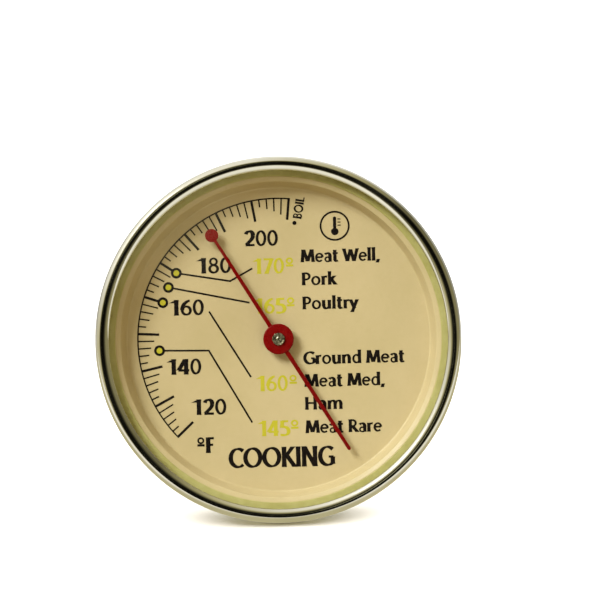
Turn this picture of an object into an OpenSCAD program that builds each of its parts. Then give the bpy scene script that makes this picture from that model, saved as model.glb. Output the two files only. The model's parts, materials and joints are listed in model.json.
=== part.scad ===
// Dial meat thermometer. A bimetal coil in the probe turns a pointer over a dished dial. The
// probe turns in the head by its nut, so that the reading can be set in boiling water.
// Each piece is drawn about the instrument's axis, with z = 0 on the back of the case and +z
// towards the reader. stand() then leans the whole back on its rim and the tip of its probe.

/* [Head] */
// Outside radius of the bezel
bezel_r = 35; // [32:0.5:45]
// Width of the ring between the outside of the bezel and the opening of the dial
rim_w = 3.9; // [3.8:0.1:4.2]
// Thickness of the bezel's sheet
bezel_t = 0.45; // [0.35:0.05:0.5]
// Rounding of the bezel's front
roll_r = 1.4; // [1.3:0.05:1.5]
// Rounding of the bezel's crimped back edge
curl_r = 1.1; // [1:0.05:1.2]
// Depth of the case from its back to its flange
case_depth = 7.65; // [7.4:0.05:9]
// Thickness of the case's sheet
case_t = 0.5; // [0.4:0.05:0.6]
// Rounding of the case where its back turns into its wall
case_corner = 2.5; // [1.5:0.1:3.5]
// Gap between the case's wall and the crimped edge of the bezel
crimp_gap = 0.4; // [0.2:0.1:0.6]

/* [Lens and seal] */
// Thickness of the lens
lens_t = 2.2; // [2:0.1:3]
// Distance from the outside of the bezel to the edge of the lens
lens_inset = 1.8; // [1.6:0.1:2]
// Thickness of the seal under the lens
seal_t = 0.35; // [0.3:0.05:0.6]
// Distance from the outside of the bezel to the outside of the seal
seal_inset = 1; // [0.9:0.1:1.3]
// How far the seal's wall stops short of the front of the lens
seal_drop = 0.4; // [0.3:0.1:0.8]

/* [Dial] */
// Thickness of the dial's sheet
dial_t = 0.3; // [0.2:0.05:0.4]
// Height of the printed face above the back of the case
face_z = 4.8; // [4.6:0.1:5.2]
// Width of the sloping wall round the printed face
dial_wall_w = 2.1; // [1.5:0.1:3]
// Radius of the hole for the pointer's bush
dial_hole_r = 2.2; // [2:0.1:2.6]

/* [Pointer] */
// Direction of the reading end at room temperature, counterclockwise from three o'clock
reading_angle = 301.5; // [0:0.5:359.5]
// Length of the reading end from the axis
reading_len = 25.3; // [20:0.1:25.5]
// Distance of the counterweight from the axis
weight_at = 23.7; // [18:0.1:24]
// Radius of the counterweight
weight_r = 1.29; // [1:0.01:1.6]
// Width of the pointer beside its hub
arm_w = 0.85; // [0.7:0.05:1]
// Width of the pointer at its reading end
reading_w = 0.7; // [0.4:0.05:0.7]
// Width of the pointer beside its counterweight
tail_w = 0.6; // [0.4:0.05:0.7]
// Radius of the hub
hub_r = 2.94; // [2.5:0.01:3.5]
// Thickness of the hub
hub_t = 0.6; // [0.5:0.05:0.8]
// Thickness of the arms
arm_t = 0.3; // [0.2:0.05:0.4]
// Height of the hub above the printed face
hub_lift = 1.5; // [1.2:0.1:1.8]
// Radius of the bush's riveted end
rivet_r = 1.2; // [1:0.1:1.4]
// Radius of the bush under the hub
bush_r = 1.5; // [1.5:0.1:1.7]

/* [Movement] */
// Radius of the pointer's shaft
shaft_r = 0.5; // [0.4:0.05:0.6]
// Clearance all round a turning shaft
running_gap = 0.03; // [0.02:0.01:0.08]
// Radius to the middle of the coil's strip
coil_r = 1.15; // [1.1:0.05:1.2]
// Thickness of the coil's strip
strip_t = 0.16; // [0.1:0.02:0.2]
// Width of the coil's strip along the axis
strip_w = 0.8; // [0.6:0.1:1]
// Rise of the coil in one turn
coil_pitch = 2; // [1.5:0.1:2.5]
// Turns of the coil
coil_turns = 22; // [15:1:25]

/* [Probe] */
// Length of the probe behind the case
probe_len = 114.3; // [100:0.1:150]
// Outside radius of the probe
probe_r = 2; // [1.9:0.05:2.1]
// Wall thickness of the probe
probe_wall = 0.4; // [0.4:0.05:0.5]
// Length of the tapered tip
tip_len = 6.5; // [5:0.5:9]
// Rounding of the tip's end
nose_r = 0.4; // [0.3:0.1:0.6]

/* [Neck] */
// Outside radius of the neck collar
neck_r = 6; // [5.8:0.1:7]
// Height of the neck collar behind the case
neck_h = 2.5; // [2.4:0.1:3.5]
// Radius of the hole in the back of the case
neck_hole_r = 4.5; // [4.2:0.1:4.8]
// Radius of the ferrule round the top of the probe
ferrule_r = 3; // [2.9:0.05:3.1]
// Length of the ferrule behind the case
ferrule_len = 8.5; // [8.5:0.5:12]
// Depth of the probe's turned-down seat under the ferrule
seat_step = 0.2; // [0.16:0.02:0.2]
// Width of the nut across its flats
nut_af = 9.5; // [9:0.5:11]
// Thickness of the nut
nut_t = 3.2; // [2.8:0.1:3.4]
// Thickness of the spring washer at rest
spring_t = 0.65; // [0.5:0.05:0.8]

/* [Hidden] */
round_fn = 128;
// Play left between faces that slide on each other
slip = 0.05;

// Heights of the stack that the bezel clamps
flange_top = case_depth + case_t;
seal_z = flange_top + dial_t;
lens_z = seal_z + seal_t;
lens_top = lens_z + lens_t;

// Radii of the head
opening_r = bezel_r - rim_w;
face_r = opening_r - dial_wall_w;
lens_r = bezel_r - lens_inset;
roll_x = bezel_r - roll_r;
roll_z = lens_top - roll_r / 2;
curl_x = bezel_r - curl_r;
curl_z = case_depth + curl_r - bezel_t;
case_r = bezel_r - curl_r - 1;
crimp_r = case_r + crimp_gap;
dial_edge_r = bezel_r - 0.8;

// The tip's nose and the inside of the probe
nose_z = nose_r - probe_len;
tip_z = tip_len - probe_len;
bore_r = probe_r - probe_wall;
seat_r = probe_r - seat_step;
seat_z = -ferrule_len - 0.5;
plug_len = 3;

// The neck, seen from the back of the case
neck_lip_r = neck_hole_r + 0.7;
neck_lip_t = 0.3;
neck_top = case_t + neck_lip_t;
spring_z = -neck_h - slip - spring_t;
nut_z = spring_z - nut_t;
nut_bevel = 0.45;
ferrule_top = 2.4;
ferrule_bevel = 0.6;
groove_r = ferrule_r - 0.4;
clip_r = 4.4;
clip_t = 0.45;
clip_mouth = 2.4;
clip_hole_r = 0.4;
thrust_r = 5;
thrust_t = 0.5;
thrust_z = neck_top + slip;
clip_z = thrust_z + thrust_t + slip;
cord_r = 0.3;
cord_z = -neck_h / 2;
cord_groove_r = ferrule_r - 2 * cord_r;

// The movement, from the top of the probe down
probe_top = 2.6;
bearing_flange_r = 2.3;
bearing_flange_t = 0.4;
bearing_len = 2;
collar_z = probe_top + bearing_flange_t + 0.1;
collar_r = 1.1;
collar_h = 0.7;
hub_z = face_z + hub_lift;
arm_z = hub_z + (hub_t - arm_t) / 2;
rivet_top = hub_z + hub_t + 0.4;
anchor_h = 1.5;
spigot_r = coil_r - strip_t - 0.05;
spigot_h = 1;
anchor_z = tip_z + plug_len + 0.5;
coil_z = anchor_z + anchor_h;
coil_h = coil_turns * coil_pitch + strip_w;
coil_collar_r = bore_r - 0.25;
coil_collar_h = 1.2;
coil_collar_z = coil_z + coil_h + slip;
lower_bearing_z = coil_collar_z + 12;
coil_steps = 12 * coil_turns;

// The lean that lays the rim and the tip of the probe on one level
contact_z = curl_z - nose_z;
lean = atan2(curl_x, contact_z) + asin((curl_r - nose_r) / norm([curl_x, contact_z]));
lift = nose_r - nose_z * sin(lean);
front_y = -roll_x * sin(lean) - roll_z * cos(lean) - roll_r;
back_y = nose_r - nose_z * cos(lean);
middle_y = (front_y + back_y) / 2;

// Leans a piece back on the rim and the tip, over the middle of its footprint
module stand() {
    translate([0, -middle_y, lift]) rotate([90 - lean, 0, 0]) children();
}

// A ring, or a disc where r_in is 0, from height z upwards
module ring(r_in, r_out, z, h) {
    rotate_extrude($fn = round_fn) translate([r_in, z]) square([r_out - r_in, h]);
}

// Half the outline of a solid with a rounded lower edge
module cup_outline(r, z, corner, top) {
    translate([0, z]) square([r - corner, top - z]);
    translate([0, z + corner]) square([r, top - z - corner]);
    translate([r - corner, z + corner]) circle(r = corner, $fn = round_fn);
}

// Sheet cup with an outward flange and a hole for the neck
module case_cup() stand() color("silver") rotate_extrude($fn = round_fn) {
    difference() {
        cup_outline(case_r, 0, case_corner, flange_top);
        cup_outline(case_r - case_t, case_t, case_corner - case_t, flange_top + 1);
        square([neck_hole_r, 2 * case_t]);
    }
    translate([case_r - case_t, case_depth]) square([curl_x - case_r + case_t, case_t]);
}

// Collar swaged through the back of the case, the bearing of the ferrule
module case_neck() stand() color("lightsteelblue") {
    bearing_r = ferrule_r + running_gap;
    difference() {
        union() {
            ring(0, neck_r, -neck_h, neck_h);
            ring(0, neck_hole_r, 0, case_t);
            ring(0, neck_lip_r, case_t, neck_lip_t);
        }
        ring(0, bearing_r, -2 * neck_h, 4 * neck_h);
    }
}

// Dished sheet: flat face, sloping wall and the flange that the bezel clamps
module dial_plate() stand() color("tan") rotate_extrude($fn = round_fn) polygon([
    [dial_hole_r, face_z - dial_t], [face_r + dial_t, face_z - dial_t],
    [opening_r + dial_t, flange_top], [dial_edge_r, flange_top],
    [dial_edge_r, seal_z], [opening_r, seal_z],
    [face_r, face_z], [dial_hole_r, face_z]
]);

// Angle-section seal under the lens and round its edge
module lens_seal() stand() color("darkkhaki") {
    ring(opening_r, bezel_r - seal_inset, seal_z, seal_t);
    ring(lens_r, bezel_r - seal_inset, lens_z, lens_t - seal_drop);
}

// Flat glass
module lens() stand() color("lightcyan", 0.35) ring(0, lens_r, lens_z, lens_t);

// The filled outline of the bezel, set in by a distance from its outer skin
module bezel_outline(inset) {
    left = crimp_r - inset * 4;
    translate([roll_x, roll_z]) circle(r = roll_r - inset, $fn = round_fn);
    translate([curl_x, curl_z]) circle(r = curl_r - inset, $fn = round_fn);
    translate([left, curl_z]) square([bezel_r - inset - left, roll_z - curl_z]);
    translate([left, curl_z - curl_r + inset]) square([curl_x - left, curl_r - inset]);
}

// Rolled ring that grips the lens in front and is crimped behind the flange
module bezel_ring() stand() color("gainsboro") rotate_extrude($fn = round_fn) difference() {
    bezel_outline(0);
    bezel_outline(bezel_t);
    translate([0, case_depth]) square([roll_x, lens_top - case_depth]);
}

// Thin-walled probe, turned down where the ferrule sits
module probe_tube() stand() color("silver") rotate_extrude($fn = round_fn) polygon([
    [bore_r, tip_z], [probe_r, tip_z], [probe_r, seat_z],
    [seat_r, seat_z], [seat_r, probe_top], [bore_r, probe_top]
]);

// Pointed plug that closes the probe
module probe_tip() stand() color("silver") {
    rotate_extrude($fn = round_fn) polygon([
        [0, tip_z + plug_len], [bore_r, tip_z + plug_len], [bore_r, tip_z],
        [probe_r, tip_z], [nose_r, nose_z], [0, nose_z]
    ]);
    translate([0, 0, nose_z]) sphere(r = nose_r, $fn = 32);
}

// Sleeve fixed on the probe, with grooves for its seal and its clip
module ferrule() stand() color("lightgray") rotate_extrude($fn = round_fn) difference() {
    polygon([
        [seat_r, -ferrule_len], [ferrule_r - ferrule_bevel, -ferrule_len],
        [ferrule_r, -ferrule_len + ferrule_bevel], [ferrule_r, ferrule_top],
        [seat_r, ferrule_top]
    ]);
    translate([cord_groove_r, cord_z - cord_r - slip])
        square([ferrule_r, 2 * (cord_r + slip)]);
    translate([groove_r, clip_z - slip / 2]) square([ferrule_r, clip_t + slip]);
}

// Rubber ring in the ferrule's groove
module neck_seal() stand() color("black") rotate_extrude($fn = round_fn)
    translate([cord_groove_r + cord_r, cord_z]) circle(r = cord_r, $fn = 32);

// Hexagon nut pressed on the ferrule, with bevelled corners
module calibration_nut() stand() color("gainsboro") {
    corner_r = nut_af / 2 / cos(30);
    difference() {
        intersection() {
            translate([0, 0, nut_z]) cylinder(r = corner_r, h = nut_t, $fn = 6);
            rotate_extrude($fn = round_fn) polygon([
                [0, nut_z], [nut_af / 2, nut_z], [corner_r, nut_z + nut_bevel],
                [corner_r, nut_z + nut_t - nut_bevel], [nut_af / 2, nut_z + nut_t],
                [0, nut_z + nut_t]
            ]);
        }
        ring(0, ferrule_r, nut_z - 1, nut_t + 2);
    }
}

// Coned washer that gives the calibration its friction
module spring_washer() stand() color("dimgray") {
    inner_r = ferrule_r + slip;
    outer_r = neck_r - 0.8;
    rotate_extrude($fn = round_fn) polygon([
        [inner_r, spring_z], [inner_r + 0.5, spring_z], [outer_r, spring_z + spring_t / 2],
        [outer_r, spring_z + spring_t], [outer_r - 0.5, spring_z + spring_t],
        [inner_r, spring_z + spring_t / 2]
    ]);
}

// Flat washer between the neck and the clip
module thrust_washer() stand() color("gold") ring(ferrule_r + slip, thrust_r, thrust_z, thrust_t);

// Open clip in the ferrule's groove, with an eye at each end of its mouth
module retaining_clip() stand() color("slategray") translate([0, 0, clip_z])
    linear_extrude(clip_t) difference() {
        circle(r = clip_r, $fn = round_fn);
        circle(r = groove_r, $fn = round_fn);
        translate([-clip_mouth / 2, -2 * clip_r]) square([clip_mouth, 2 * clip_r]);
        for (side = [-1, 1]) rotate(side * 30) translate([0, -(clip_r + groove_r) / 2])
            circle(r = clip_hole_r, $fn = 24);
    }

// Flanged bush in the top of the probe
module upper_bearing() stand() color("peru") {
    bearing_r = shaft_r + running_gap;
    ring(bearing_r, bore_r, probe_top - bearing_len, bearing_len);
    ring(bearing_r, bearing_flange_r, probe_top, bearing_flange_t);
}

// Guide bush part way down the probe
module lower_bearing() stand() color("peru")
    ring(shaft_r + running_gap, bore_r, lower_bearing_z, bearing_len);

// Plug that holds the fixed end of the coil
module coil_anchor() stand() color("goldenrod") {
    ring(0, bore_r, anchor_z, anchor_h);
    ring(0, spigot_r, anchor_z, anchor_h + spigot_h);
}

// Two-metal strip wound in a helix
module bimetal_coil() stand() color("chocolate") {
    half_t = strip_t / 2;
    strip = [[-half_t, 0], [half_t, 0], [half_t, strip_w], [-half_t, strip_w]];
    points = [
        for (i = [0:coil_steps], p = strip)
            let (a = 360 * coil_turns * i / coil_steps, r = coil_r + p[0])
            [r * cos(a), r * sin(a), coil_z + coil_turns * coil_pitch * i / coil_steps + p[1]]
    ];
    sides = [
        for (i = [0:coil_steps - 1], k = [0:3])
            let (a = 4 * i + k, b = 4 * i + (k + 1) % 4)
            each [[a, a + 4, b], [b, a + 4, b + 4]]
    ];
    last = 4 * coil_steps;
    polyhedron(points, concat([[0, 1, 2, 3], [last + 3, last + 2, last + 1, last]], sides));
}

// Thin shaft from the coil to the pointer
module pointer_shaft() stand() color("silver")
    ring(0, shaft_r, coil_collar_z - spigot_h, rivet_top - coil_collar_z + spigot_h);

// Collar that joins the free end of the coil to the shaft
module coil_collar() stand() color("goldenrod") {
    ring(shaft_r, coil_collar_r, coil_collar_z, coil_collar_h);
    ring(shaft_r, spigot_r, coil_collar_z - spigot_h, spigot_h);
}

// Collar that keeps the shaft from dropping
module shaft_collar() stand() color("goldenrod") ring(shaft_r, collar_r, collar_z, collar_h);

// Bush riveted through the pointer's hub
module pointer_bush() stand() color("lightgray") {
    ring(shaft_r, bush_r, face_z + slip, hub_lift - slip);
    ring(shaft_r, rivet_r, hub_z, rivet_top - hub_z);
}

// Stamped pointer with a round hub, a slim reading end and a round counterweight
module pointer() stand() color("firebrick") difference() {
    end_x = reading_len - reading_w / 2;
    union() {
        translate([0, 0, hub_z]) cylinder(r = hub_r, h = hub_t, $fn = round_fn);
        rotate(reading_angle) translate([0, 0, arm_z]) linear_extrude(arm_t) {
            polygon([
                [end_x, -reading_w / 2], [end_x, reading_w / 2], [0, arm_w / 2],
                [-weight_at, tail_w / 2], [-weight_at, -tail_w / 2], [0, -arm_w / 2]
            ]);
            translate([end_x, 0]) circle(r = reading_w / 2, $fn = 24);
            translate([-weight_at, 0]) circle(r = weight_r, $fn = 48);
        }
    }
    ring(0, rivet_r, hub_z - 1, hub_t + 2);
}

case_cup();
case_neck();
dial_plate();
lens_seal();
lens();
bezel_ring();
probe_tube();
probe_tip();
ferrule();
neck_seal();
calibration_nut();
spring_washer();
thrust_washer();
retaining_clip();
upper_bearing();
lower_bearing();
coil_anchor();
bimetal_coil();
pointer_shaft();
coil_collar();
shaft_collar();
pointer_bush();
pointer();
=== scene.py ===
import json
import math

import bmesh
import bpy
from mathutils import Matrix, Vector, noise
from mathutils.geometry import delaunay_2d_cdt


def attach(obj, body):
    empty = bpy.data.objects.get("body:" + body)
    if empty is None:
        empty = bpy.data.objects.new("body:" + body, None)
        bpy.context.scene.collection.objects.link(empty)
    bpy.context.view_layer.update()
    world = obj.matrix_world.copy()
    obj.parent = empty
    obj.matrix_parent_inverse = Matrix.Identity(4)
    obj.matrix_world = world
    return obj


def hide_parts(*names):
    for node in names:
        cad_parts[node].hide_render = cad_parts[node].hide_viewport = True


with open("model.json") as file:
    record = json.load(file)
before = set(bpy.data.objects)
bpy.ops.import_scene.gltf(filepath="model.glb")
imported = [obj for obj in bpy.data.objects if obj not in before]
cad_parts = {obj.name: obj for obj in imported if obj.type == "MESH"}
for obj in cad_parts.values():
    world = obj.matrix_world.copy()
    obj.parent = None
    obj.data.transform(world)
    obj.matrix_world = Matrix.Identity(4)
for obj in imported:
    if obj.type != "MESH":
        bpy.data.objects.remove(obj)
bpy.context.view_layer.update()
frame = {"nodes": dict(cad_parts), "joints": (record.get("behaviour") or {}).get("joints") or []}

# ---- the instrument's own frame
# Pieces are drawn in millimetres about the dial's axis: x to the reader's right, y up the dial and
# z towards the reader, from the back of the case. PLACE takes that to the frame, in metres.

MM = 0.001
turn = next(j for j in frame["joints"] if j["name"] == "calibration_turn")
outward = Vector(turn["axis"]).normalized()
rightward = Vector((1, 0, 0))
upward = outward.cross(rightward)
PLACE = Matrix.Translation(Vector(turn["pos_m"])) @ Matrix((
    (rightward.x * MM, upward.x * MM, outward.x * MM, 0),
    (rightward.y * MM, upward.y * MM, outward.y * MM, 0),
    (rightward.z * MM, upward.z * MM, outward.z * MM, 0),
    (0, 0, 0, 1),
))


def drawn_points(name):
    """A CAD node's vertices in the instrument's own frame."""
    back = PLACE.inverted()
    return [back @ v.co for v in frame["nodes"][name].data.vertices]


def extents(name):
    """Least and greatest radius, then least and greatest height, of a CAD node about the axis."""
    points = drawn_points(name)
    radii = [math.hypot(p.x, p.y) for p in points]
    heights = [p.z for p in points]
    return min(radii), max(radii), min(heights), max(heights)


# ---- outlines

def arc(cx, cy, rx, ry, start, end, steps):
    """Points along an ellipse's arc, angles in degrees."""
    angles = [math.radians(start + (end - start) * i / steps) for i in range(steps + 1)]
    return [(cx + rx * math.cos(a), cy + ry * math.sin(a)) for a in angles]


def rounded(corners, steps=5):
    """A closed outline from corners (x, y, radius), each rounded by its radius."""
    outline = []
    for i, (x, y, radius) in enumerate(corners):
        if radius <= 0:
            outline.append((x, y))
            continue
        corner = Vector((x, y))
        before = Vector(corners[i - 1][:2]) - corner
        after = Vector(corners[(i + 1) % len(corners)][:2]) - corner
        half = before.angle(after) / 2
        cut = min(radius / math.tan(half), 0.49 * min(before.length, after.length))
        start, end = corner + before.normalized() * cut, corner + after.normalized() * cut
        middle = (before.normalized() + after.normalized()).normalized()
        centre = corner + middle * (cut / math.cos(half))
        first = math.atan2(start.y - centre.y, start.x - centre.x)
        sweep = math.atan2(end.y - centre.y, end.x - centre.x) - first
        sweep = (sweep + math.pi) % math.tau - math.pi
        reach = (start - centre).length
        for k in range(steps + 1):
            a = first + sweep * k / steps
            outline.append((centre.x + reach * math.cos(a), centre.y + reach * math.sin(a)))
    return outline


# ---- meshes

SMOOTH_ANGLE = math.radians(35)
WELD = 1e-4  # points nearer than this are one point


def shown(name, data):
    """A new object of the scene."""
    thing = bpy.data.objects.new(name, data)
    bpy.context.scene.collection.objects.link(thing)
    return thing


def mesh_from(name, shape, place, material):
    mesh = bpy.data.meshes.new(name)
    shape.to_mesh(mesh)
    shape.free()
    mesh.transform(place)
    mesh.materials.append(material)
    return mesh


def piece_from(name, shape, body, material, replaces=()):
    """Turns a bmesh in millimetres into a piece that rides on a body."""
    bmesh.ops.recalc_face_normals(shape, faces=shape.faces)
    mesh = mesh_from(name, shape, PLACE, material)
    mesh.shade_smooth()
    mesh.set_sharp_from_angle(angle=SMOOTH_ANGLE)
    piece = shown(name, mesh)
    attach(piece, body)
    if replaces:
        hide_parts(*replaces)


def lathe_into(shape, profile, turns=256):
    """Revolves a closed profile, or a function of the angle that gives one, into a bmesh.

    Each vertex keeps its direction round the axis and its way along the profile, for the grain."""
    grain = shape.verts.layers.float_vector.new("grain")
    rings = []
    for i in range(turns):
        a = math.tau * i / turns
        outline = profile(a) if callable(profile) else profile
        way, ring = 0.0, []
        for k, (r, z) in enumerate(outline):
            way += math.dist((r, z), outline[k - 1]) if k else 0.0
            vert = shape.verts.new((r * math.cos(a), r * math.sin(a), z))
            vert[grain] = (math.cos(a), math.sin(a), way)
            ring.append(vert)
        rings.append(ring)
    for i, ring in enumerate(rings):
        following = rings[(i + 1) % turns]
        for k, vert in enumerate(ring):
            n = (k + 1) % len(ring)
            if vert.co.xy.length > WELD or ring[n].co.xy.length > WELD:
                shape.faces.new((vert, following[k], following[n], ring[n]))
    bmesh.ops.remove_doubles(shape, verts=shape.verts, dist=WELD)


def lathe(name, profile, body, material, replaces=(), turns=256):
    """A turned piece that rides on a body."""
    shape = bmesh.new()
    lathe_into(shape, profile, turns)
    piece_from(name, shape, body, material, replaces)


def anticlockwise(polygon):
    twice_area = sum(a[0] * b[1] - b[0] * a[1] for a, b in zip(polygon, polygon[1:] + polygon[:1]))
    return polygon if twice_area > 0 else polygon[::-1]


def slab_into(shape, polygons, low, high):
    """Joins flat polygons, which may overlap, into one closed slab."""
    points, loops = [], []
    for polygon in polygons:
        loops.append(list(range(len(points), len(points) + len(polygon))))
        points.extend(Vector(p) for p in anticlockwise(polygon))
    inside_only, nearness = 1, 1e-5
    flat, _, triangles, _, _, owners = delaunay_2d_cdt(points, [], loops, inside_only, nearness)
    inside = [t for t, owner in zip(triangles, owners) if owner]
    bottom = [shape.verts.new((p.x, p.y, low)) for p in flat]
    top = [shape.verts.new((p.x, p.y, high)) for p in flat]
    edges = set()
    for a, b, c in inside:
        shape.faces.new((top[a], top[b], top[c]))
        shape.faces.new((bottom[c], bottom[b], bottom[a]))
        edges.update(((a, b), (b, c), (c, a)))
    for a, b in edges:
        if (b, a) not in edges:
            shape.faces.new((bottom[a], bottom[b], top[b], top[a]))
    loose = [v for v in shape.verts if not v.link_faces]
    bmesh.ops.delete(shape, geom=loose, context="VERTS")


# ---- materials

def shader(name, **values):
    """A material's tree and its Principled node, with plain values on the node's sockets."""
    material = bpy.data.materials.new(name)
    material.use_nodes = True
    tree = material.node_tree
    surface = tree.nodes["Principled BSDF"]
    for socket, value in values.items():
        surface.inputs[socket.replace("_", " ")].default_value = value
    return material, tree, surface


def node(tree, kind, settings=(), **inputs):
    """A new node; inputs are named by socket, or _0, _1 by place, and take values or other sockets."""
    made = tree.nodes.new(kind)
    for key, value in dict(settings).items():
        setattr(made, key, value)
    for socket, value in inputs.items():
        target = made.inputs[int(socket[1:])] if socket[1:].isdigit() else made.inputs[socket]
        if isinstance(value, bpy.types.NodeSocket):
            tree.links.new(value, target)
        else:
            target.default_value = value
    return made


def noise_of(tree, where, scale, detail=3.0, stretch=(1, 1, 1)):
    """Noise whose coordinates are scaled first; gives values about 0.5."""
    mapped = node(tree, "ShaderNodeMapping", Vector=where, Scale=stretch)
    made = node(tree, "ShaderNodeTexNoise", Vector=mapped.outputs[0], Scale=scale, Detail=detail)
    return made.outputs["Fac"]


def ranged(tree, value, low, high, from_low=0.3, from_high=0.7):
    """Value taken from its own range to low..high."""
    made = node(tree, "ShaderNodeMapRange", _0=value, _1=from_low, _2=from_high, _3=low, _4=high)
    return made.outputs["Result"]


def blended(tree, share, first, second):
    """Colour between two colours."""
    made = node(tree, "ShaderNodeMix", {"data_type": "RGBA"}, _0=share, _6=(*first, 1), _7=(*second, 1))
    return made.outputs[2]


def bumped(tree, surface, height, depth, strength=0.5):
    """Relief of a depth in millimetres."""
    made = node(tree, "ShaderNodeBump", Height=height, Strength=strength, Distance=depth * MM)
    tree.links.new(made.outputs[0], surface.inputs["Normal"])


def varied(tree, surface, share, dark, light, gloss, rough, *gloss_range):
    """A colour that varies with one share, and a roughness that varies with another."""
    tree.links.new(blended(tree, share, dark, light), surface.inputs["Base Color"])
    tree.links.new(ranged(tree, gloss, *rough, *gloss_range), surface.inputs["Roughness"])


def grain_of(tree):
    """The lathe's own coordinates: direction round the axis, then the way along the profile."""
    made = node(tree, "ShaderNodeAttribute", {"attribute_name": "grain"})
    return made.outputs["Vector"]


def place_of(tree):
    """The point's place in the object."""
    return node(tree, "ShaderNodeTexCoord").outputs["Object"]


def way_round(tree):
    """The way round the instrument's axis, which is the way that spun rings run."""
    arm = node(tree, "ShaderNodeVectorMath", {"operation": "SUBTRACT"},
               _0=place_of(tree), _1=PLACE.to_translation())
    along = node(tree, "ShaderNodeVectorMath", {"operation": "CROSS_PRODUCT"},
                 _0=outward, _1=arm.outputs[0])
    kind = {"vector_type": "VECTOR", "convert_from": "OBJECT", "convert_to": "WORLD"}
    return node(tree, "ShaderNodeVectorTransform", kind, Vector=along.outputs[0]).outputs[0]


def turned_metal(name, light, dark, rough, ring_scale, ring_depth, spun=0.0, around=1.5):
    """Bare metal with the fine rings of a spun, turned or buffed surface."""
    material, tree, surface = shader(name, Metallic=1.0, Anisotropic=spun)
    if spun:
        tree.links.new(way_round(tree), surface.inputs["Tangent"])
    arc_stretch = around / ring_scale
    rings = noise_of(tree, grain_of(tree), ring_scale, 4.0, (arc_stretch, arc_stretch, 1))
    clouds = noise_of(tree, place_of(tree), 90.0, 4.0)
    uneven = node(tree, "ShaderNodeMath", {"operation": "ADD"}, _0=rings, _1=clouds).outputs[0]
    varied(tree, surface, ranged(tree, clouds, 0, 1), dark, light, uneven, rough, 0.7, 1.3)
    bumped(tree, surface, rings, ring_depth, 0.6)
    return material


def drawn_metal(name, light, dark, rough, line_scale, line_depth):
    """Bare metal with fine lines along the axis, as on drawn and buffed tube."""
    material, tree, surface = shader(name, Metallic=1.0)
    lines = noise_of(tree, grain_of(tree), line_scale, 4.0, (1, 1, 0.02))
    clouds = noise_of(tree, place_of(tree), 120.0, 3.0)
    varied(tree, surface, ranged(tree, clouds, 0, 1), dark, light, lines, rough)
    bumped(tree, surface, lines, line_depth)
    return material


def plain_metal(name, light, dark, rough, scale=900.0):
    """Metal of the small inner pieces, with a fine uneven skin."""
    material, tree, surface = shader(name, Metallic=1.0)
    clouds = noise_of(tree, place_of(tree), scale, 4.0)
    varied(tree, surface, ranged(tree, clouds, 0, 1), dark, light, clouds, rough)
    bumped(tree, surface, clouds, 0.004)
    return material


def painted(name, light, dark, rough, skin, skin_depth, specular=0.5):
    """Enamel, lacquer or ink: an even colour with faint clouds and a fine skin."""
    material, tree, surface = shader(name, Specular_IOR_Level=specular)
    clouds = noise_of(tree, place_of(tree), 70.0, 3.0)
    specks = noise_of(tree, place_of(tree), skin, 3.0)
    mottle = node(tree, "ShaderNodeMath", {"operation": "MULTIPLY_ADD"}, _0=specks, _1=0.35, _2=clouds)
    share = ranged(tree, mottle.outputs[0], 0, 1, 0.5, 0.85)
    varied(tree, surface, share, dark, light, specks, rough)
    bumped(tree, surface, specks, skin_depth)
    return material


def clear_glass(name):
    """Flat glass that lets the lamps through to the dial."""
    clear = {"Base_Color": (0.97, 1.0, 0.975, 1), "IOR": 1.5, "Transmission_Weight": 1.0}
    material, tree, surface = shader(name, **clear)
    smears = noise_of(tree, place_of(tree), 45.0, 4.0, (1, 2.5, 1))
    tree.links.new(ranged(tree, smears, 0.0, 0.02, 0.5, 0.75), surface.inputs["Roughness"])
    path = node(tree, "ShaderNodeLightPath")
    open_way = node(tree, "ShaderNodeBsdfTransparent", Color=(0.96, 0.97, 0.955, 1))
    seen = surface.outputs[0]
    for ray in ("Is Glossy Ray", "Is Diffuse Ray", "Is Shadow Ray"):
        mixed = node(tree, "ShaderNodeMixShader", _0=path.outputs[ray], _1=seen, _2=open_way.outputs[0])
        seen = mixed.outputs[0]
    tree.links.new(seen, tree.nodes["Material Output"].inputs["Surface"])
    return material


bezel_steel = turned_metal(
    "bezel steel", (0.74, 0.71, 0.61), (0.64, 0.61, 0.5), (0.05, 0.13), 9, 0.0012)
case_steel = turned_metal(
    "case steel", (0.7, 0.7, 0.69), (0.56, 0.56, 0.56), (0.26, 0.38), 7, 0.004, 0.75)
turned_steel = turned_metal(
    "turned steel", (0.72, 0.72, 0.71), (0.58, 0.57, 0.55), (0.16, 0.32), 12, 0.004)
nut_steel = turned_metal("nut steel", (0.74, 0.72, 0.67), (0.6, 0.57, 0.52), (0.18, 0.34), 10, 0.004)
spring_steel = turned_metal(
    "spring steel", (0.42, 0.42, 0.43), (0.3, 0.3, 0.32), (0.3, 0.45), 10, 0.003)
probe_steel = drawn_metal(
    "probe steel", (0.78, 0.78, 0.77), (0.66, 0.66, 0.65), (0.1, 0.24), 14, 0.002)
brass = plain_metal("brass", (0.86, 0.66, 0.33), (0.7, 0.5, 0.24), (0.22, 0.4))
two_metal = plain_metal("two metal strip", (0.68, 0.56, 0.46), (0.5, 0.4, 0.33), (0.3, 0.5))
inner_steel = plain_metal("inner steel", (0.55, 0.55, 0.56), (0.42, 0.42, 0.44), (0.25, 0.45))
black_rubber = painted(
    "black rubber", (0.03, 0.03, 0.03), (0.015, 0.015, 0.015), (0.55, 0.7), 2500, 0.01)
cream = painted(
    "cream enamel", (0.56, 0.46, 0.27), (0.51, 0.42, 0.235), (0.35, 0.48), 1600, 0.0025, 0.3)
black_ink = painted(
    "black ink", (0.006, 0.003, 0.002), (0.004, 0.002, 0.001), (0.5, 0.65), 3000, 0.002, 0.1)
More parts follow.
